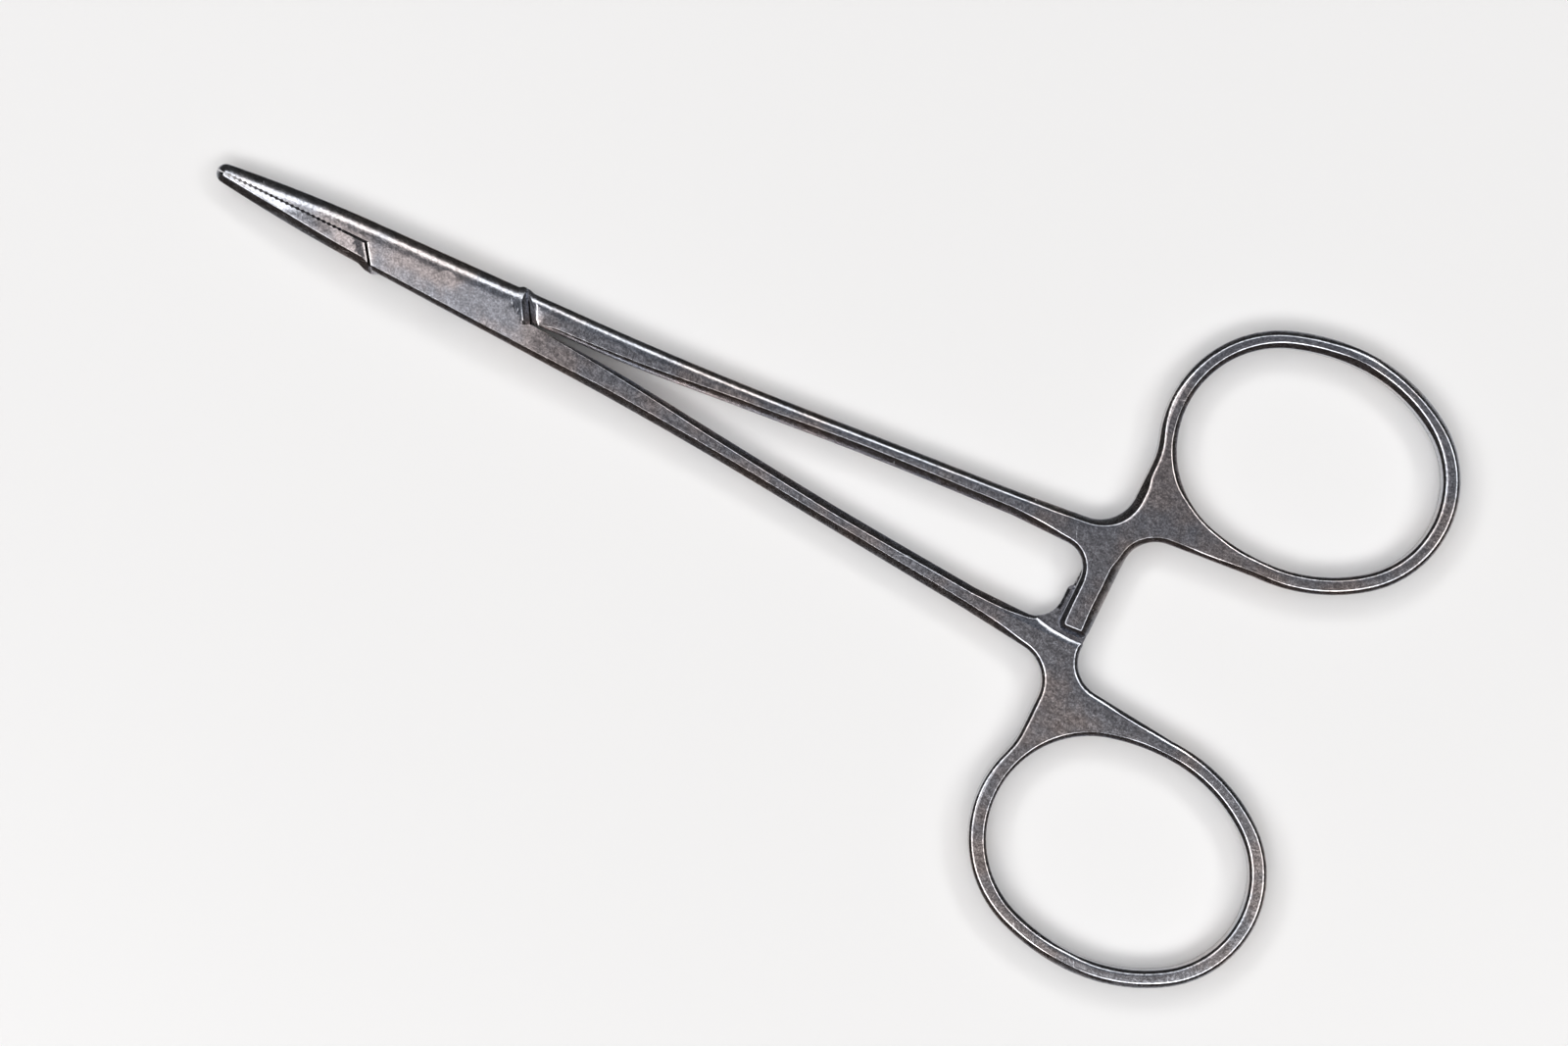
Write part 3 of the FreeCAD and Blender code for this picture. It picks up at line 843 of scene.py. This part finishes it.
# Everything between the jaw's heel and the shank's shoulder is cut away, apart from the neck
window = [
    (beyond, jaw_gap / 2), (jaw_back, jaw_gap / 2), (jaw_back, relief), (front_cheek(0, front_gap), relief),
    (front_cheek(aside, front_gap), aside), (-rear_cheek(0, rear_gap) - aside, aside),
    (ledge_back, -gap_ledge), (-rear_cheek(0, rear_gap), -gap_ledge),
    (-rear_cheek(aside, rear_gap), -aside), (beyond, -aside),
]
spaces = prism("spaces", window, below_all, above_all)
long_way = way(neck_tilt, box_reach + 2 * neck_half_width)
wide_way = way(neck_tilt + math.pi / 2, neck_half_width)
band = [long_way + wide_way, wide_way - long_way, -long_way - wide_way, long_way - wide_way]
carve(spaces, prism("neck", band, middle - neck_thickness / 2, middle + neck_thickness / 2))
carve(tenon_half, spaces)
serrate(tenon_half, 1)
finish_half(tenon_half, "tenon_side", "tenon_half")

# Pivot pin
# A stainless rivet through both cheeks and the neck. Its ends are peened and ground flush with the
# cheeks, so only a faint ring shows.
pin_edge = 0.01
pin_rings = [
    (pin_radius - pin_edge, 0), (pin_radius, pin_edge), (pin_radius, box_thickness - pin_edge),
    (pin_radius - pin_edge, box_thickness),
]
pin_verts = [(x, y, z) for radius, z in pin_rings for x, y in circle(radius)]
pin_faces = [
    (ring * around + i, ring * around + (i + 1) % around, (ring + 1) * around + (i + 1) % around,
     (ring + 1) * around + i)
    for ring in range(len(pin_rings) - 1) for i in range(around)
]
pin_faces += [tuple(range(around)), tuple(range(len(pin_verts) - around, len(pin_verts)))]
pivot_pin = mesh_object("pivot_pin_steel", pin_verts, pin_faces)
pivot_pin.data.materials.append(halves_steel)
for face in pivot_pin.data.polygons:
    face.use_smooth = len(face.vertices) == 4
pivot_pin.data.set_sharp_from_angle(angle=crease)
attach(pivot_pin, "box_side")
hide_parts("pivot_pin")

# Camera
# It looks straight down from 42 cm, with the instrument lying slantwise, tips to the upper left, and
# takes in a field 16 cm wide.
image_right = Vector((-0.8973, -0.4415, 0))
image_up = Vector((0.4415, -0.8973, 0))
view_centre = Vector((-41.66, 6.84, 2.2)) * mm
view_width = 0.160
view_height = 0.42
sensor = 36.0
camera_data = bpy.data.cameras.new("camera")
camera_data.sensor_width = sensor
camera_data.lens = sensor * view_height / view_width
camera = bpy.data.objects.new("camera", camera_data)
camera.matrix_world = Matrix.Translation(view_centre + Vector((0, 0, view_height))) @ Matrix(
    (image_right, image_up, (0, 0, 1))).transposed().to_4x4()
bpy.context.scene.collection.objects.link(camera)
bpy.context.scene.camera = camera

# Floor
# A large smooth board, painted nearly white and a little glossy. The instrument lies on it, on the
# ground underside of its box lock. Blender's own starting objects make room for it all.
for spare in ("Cube", "Light", "Camera"):
    if spare in bpy.data.objects:
        bpy.data.objects.remove(bpy.data.objects[spare])
floor_half = 1500
board_colour = (0.86, 0.86, 0.855, 1)
board_roughness = 0.3
floor = mesh_object("floor", [
    (-floor_half, -floor_half, 0), (floor_half, -floor_half, 0), (floor_half, floor_half, 0),
    (-floor_half, floor_half, 0)], [(0, 1, 2, 3)])
board, wires = new_material("white_board")
finish_material(wires, board_colour, board_roughness, 0.0)
floor.data.materials.append(board)

# Light
# Six soft panels hang in an arc from the image's left over its top to its right, and three fills higher
# up on the near side. Gentle bevels mirror the six as white lines, and steep ones the dark walls. Level
# faces mirror a dim ceiling, and the jaws' falling faces its bright left part.
panel_distance = 0.85
panel_rise = math.radians(49)
panel_height = 0.18
panel_width = 0.5
fill_rise = math.radians(63)
fill_height = 0.25
fill_power = 1.03


def panel(name, azimuth, rise, height, power):
    """A soft panel that faces the object, at an angle from the image's right towards its top."""
    data = bpy.data.lights.new(name, "AREA")
    data.shape = "RECTANGLE"
    data.size = panel_width
    data.size_y = height
    data.energy = power
    lamp = bpy.data.objects.new(name, data)
    turn = math.radians(azimuth)
    level = image_right * math.cos(turn) + image_up * math.sin(turn)
    direction = level * math.cos(rise) + Vector((0, 0, math.sin(rise)))
    lamp.matrix_world = (Matrix.Translation(view_centre + direction * panel_distance)
                         @ direction.to_track_quat("Z", "Y").to_matrix().to_4x4())
    bpy.context.scene.collection.objects.link(lamp)


for name, azimuth, power in (
    ("low_right_panel", -8, 0.80), ("right_panel", 28, 0.72), ("upper_right_panel", 64, 0.70),
    ("upper_left_panel", 112, 0.70), ("left_panel", 150, 0.70), ("low_left_panel", 188, 0.78),
):
    panel(name, azimuth, panel_rise, panel_height, power)
for name, azimuth in (("left_fill", 228), ("middle_fill", 270), ("right_fill", 312)):
    panel(name, azimuth, fill_rise, fill_height, fill_power)

world = bpy.data.worlds.new("studio")
world.use_nodes = True
bpy.context.scene.world = world
world.node_tree.nodes.clear()
wires = Wire(world.node_tree)
grey_ceiling = (0.105, 0.112, 0.13, 1)
warm_ceiling = (0.145, 0.12, 0.11, 1)
bright_ceiling = (0.95, 0.92, 0.93, 1)
grey_walls = (0.022, 0.021, 0.02, 1)
warm_walls = (0.040, 0.031, 0.027, 1)
skyward = wires.node("TexCoord", output="Generated")
height = wires.node("SeparateXYZ", {}, {"Vector": skyward}, "Z")
upward, rightward = (
    wires.node("VectorMath", {"operation": "DOT_PRODUCT"}, {0: skyward, 1: side}, "Value")
    for side in (image_up, image_right)
)
dim_ceiling = upward.band(0.10, -0.15).blend(grey_ceiling, warm_ceiling)
overhead = rightward.band(-0.076, -0.048).blend(bright_ceiling, dim_ceiling)
walls = upward.band(0.2, -0.6).blend(grey_walls, warm_walls)
sky = height.band(0.55, 0.90).blend(walls, overhead)
glow = wires.node("Background", {}, {"Color": sky, "Strength": 1.0})
wires.node("OutputWorld", {}, {"Surface": glow})
bpy.context.scene.view_settings.view_transform = "Standard"
